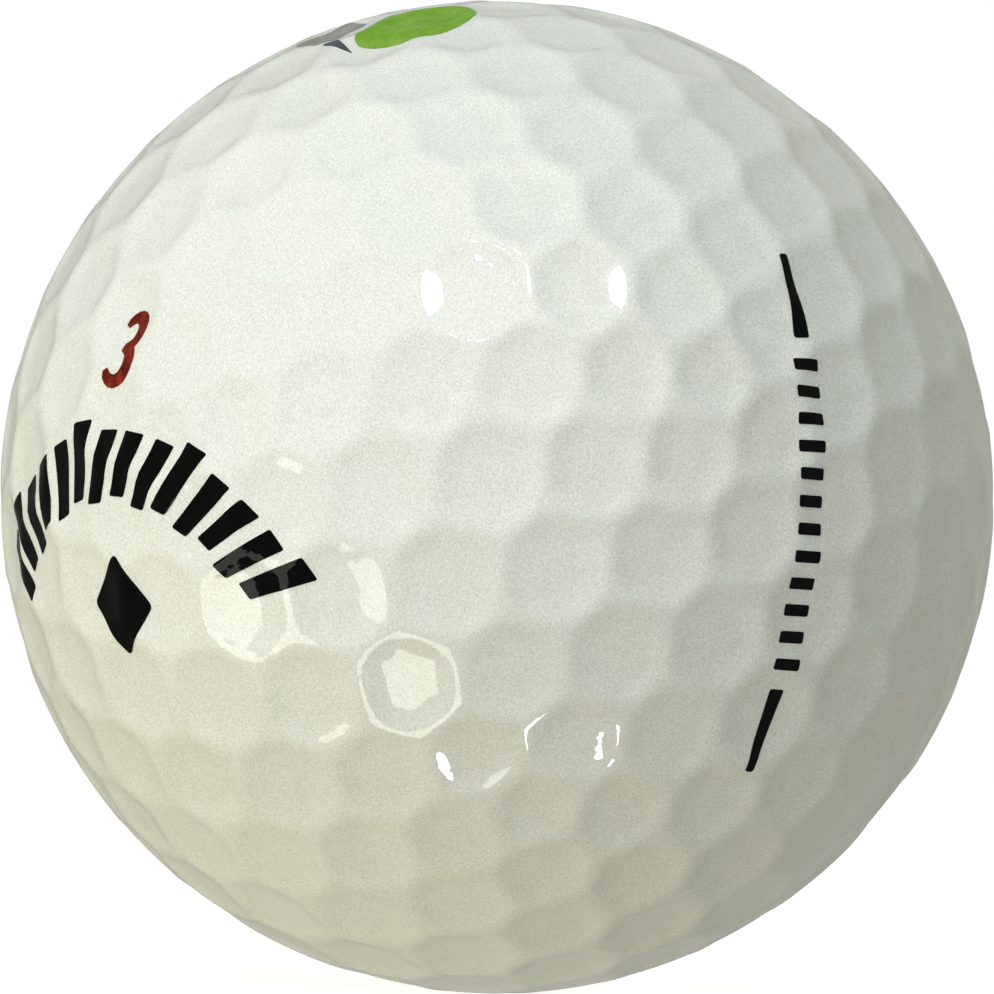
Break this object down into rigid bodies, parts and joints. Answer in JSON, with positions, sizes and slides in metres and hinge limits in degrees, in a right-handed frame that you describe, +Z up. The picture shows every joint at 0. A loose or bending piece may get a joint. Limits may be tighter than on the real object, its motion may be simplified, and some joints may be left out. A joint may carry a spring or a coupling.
{
  "type": "golf ball",
  "caption": "White golf ball with a solid core, a mantle, a cover of shallow hexagonal dimples and thin ink marks: a play number, a plain emblem, side alignment bars and a green patch.",
  "frame": {"origin": "centre of the ball", "axes": "+Z up towards the green patch, -X through the middle of the emblem, -Y through the middle of the side stamp"},
  "size_m": [0.0426, 0.0426, 0.0424],
  "materials": {
    "core": "dull solid rubber core, hidden inside",
    "mantle": "smooth firm plastic layer, hidden inside",
    "cover": "glossy clear-coated white cover",
    "red_ink": "dark red ink under clear coat",
    "black_ink": "black ink under clear coat",
    "side_ink": "black ink under clear coat",
    "green_ink": "green and grey ink under clear coat"
  },
  "bodies": {
    "root": {"core": "core", "mantle": "mantle", "cover": "cover", "number_print": "red_ink", "emblem_print": "black_ink", "side_print": "side_ink", "custom_print": "green_ink"}
  },
  "joints": []
}
